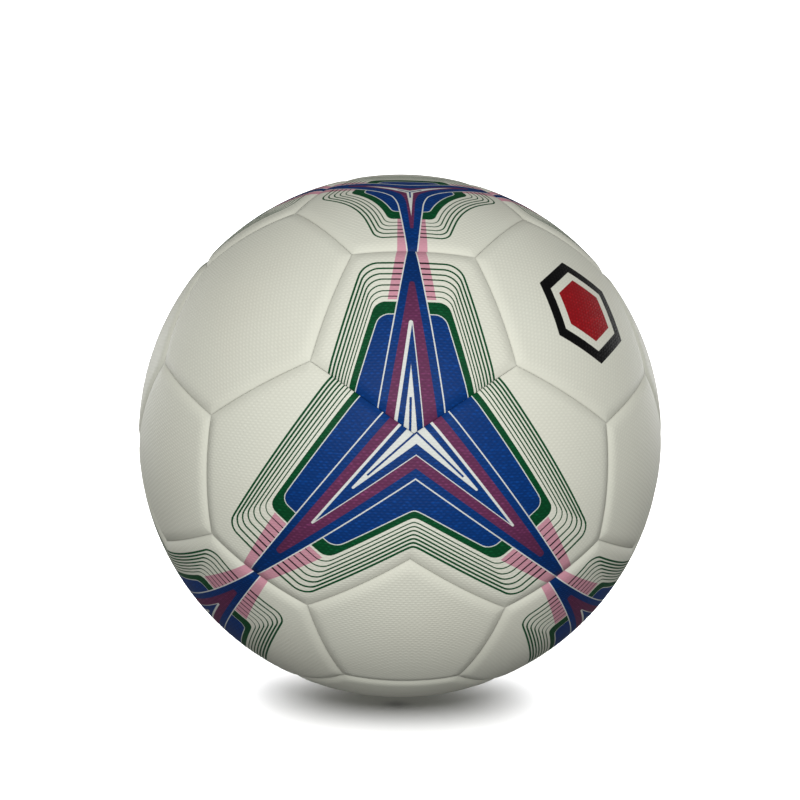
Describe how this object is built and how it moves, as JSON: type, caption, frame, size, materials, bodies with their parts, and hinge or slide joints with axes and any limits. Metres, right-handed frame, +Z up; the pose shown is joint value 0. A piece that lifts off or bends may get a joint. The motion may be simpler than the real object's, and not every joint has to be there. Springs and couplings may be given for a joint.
{
  "type": "soccer ball",
  "caption": "Round inflatable soccer ball with a cover of bonded pentagon, hexagon and twin-hexagon panels over a carcass and a bladder with its valve.",
  "frame": {"origin": "the ball's centre", "axes": "+Z up as the ball stands, -Y out of its front, where the front star's centre is 5 degrees above the equator; X = 0 is the cover's mirror plane"},
  "size_m": [0.22, 0.22, 0.2198],
  "materials": {
    "cover_plain": "satin",
    "cover_printed": "satin",
    "carcass": "matte",
    "bladder": "matte",
    "valve_body": "satin",
    "valve_core": "satin"
  },
  "bodies": {
    "root": {"star_hexagon_upper": "cover_printed", "star_pentagon_upper_front": "cover_printed", "twin_panel_upper_front": "cover_printed", "star_pentagon_upper_left": "cover_printed", "twin_panel_upper_left": "cover_printed", "star_pentagon_upper_right": "cover_printed", "twin_panel_upper_right": "cover_printed", "star_hexagon_lower": "cover_printed", "star_pentagon_lower_rear": "cover_printed", "twin_panel_lower_rear": "cover_printed", "star_pentagon_lower_left": "cover_printed", "twin_panel_lower_left": "cover_printed", "star_pentagon_lower_right": "cover_printed", "twin_panel_lower_right": "cover_printed", "plain_pentagon_upper_rear": "cover_plain", "plain_hexagon_upper_rear": "cover_plain", "plain_pentagon_upper_left": "cover_plain", "plain_hexagon_upper_left": "cover_plain", "plain_pentagon_upper_right": "cover_plain", "plain_hexagon_upper_right": "cover_plain", "plain_pentagon_lower_front": "cover_plain", "valve_hexagon": "cover_plain", "plain_pentagon_lower_left": "cover_plain", "plain_hexagon_lower_left": "cover_plain", "plain_pentagon_lower_right": "cover_plain", "plain_hexagon_lower_right": "cover_plain", "carcass": "carcass", "bladder": "bladder", "valve_body": "valve_body", "valve_core": "valve_core"}
  },
  "joints": []
}
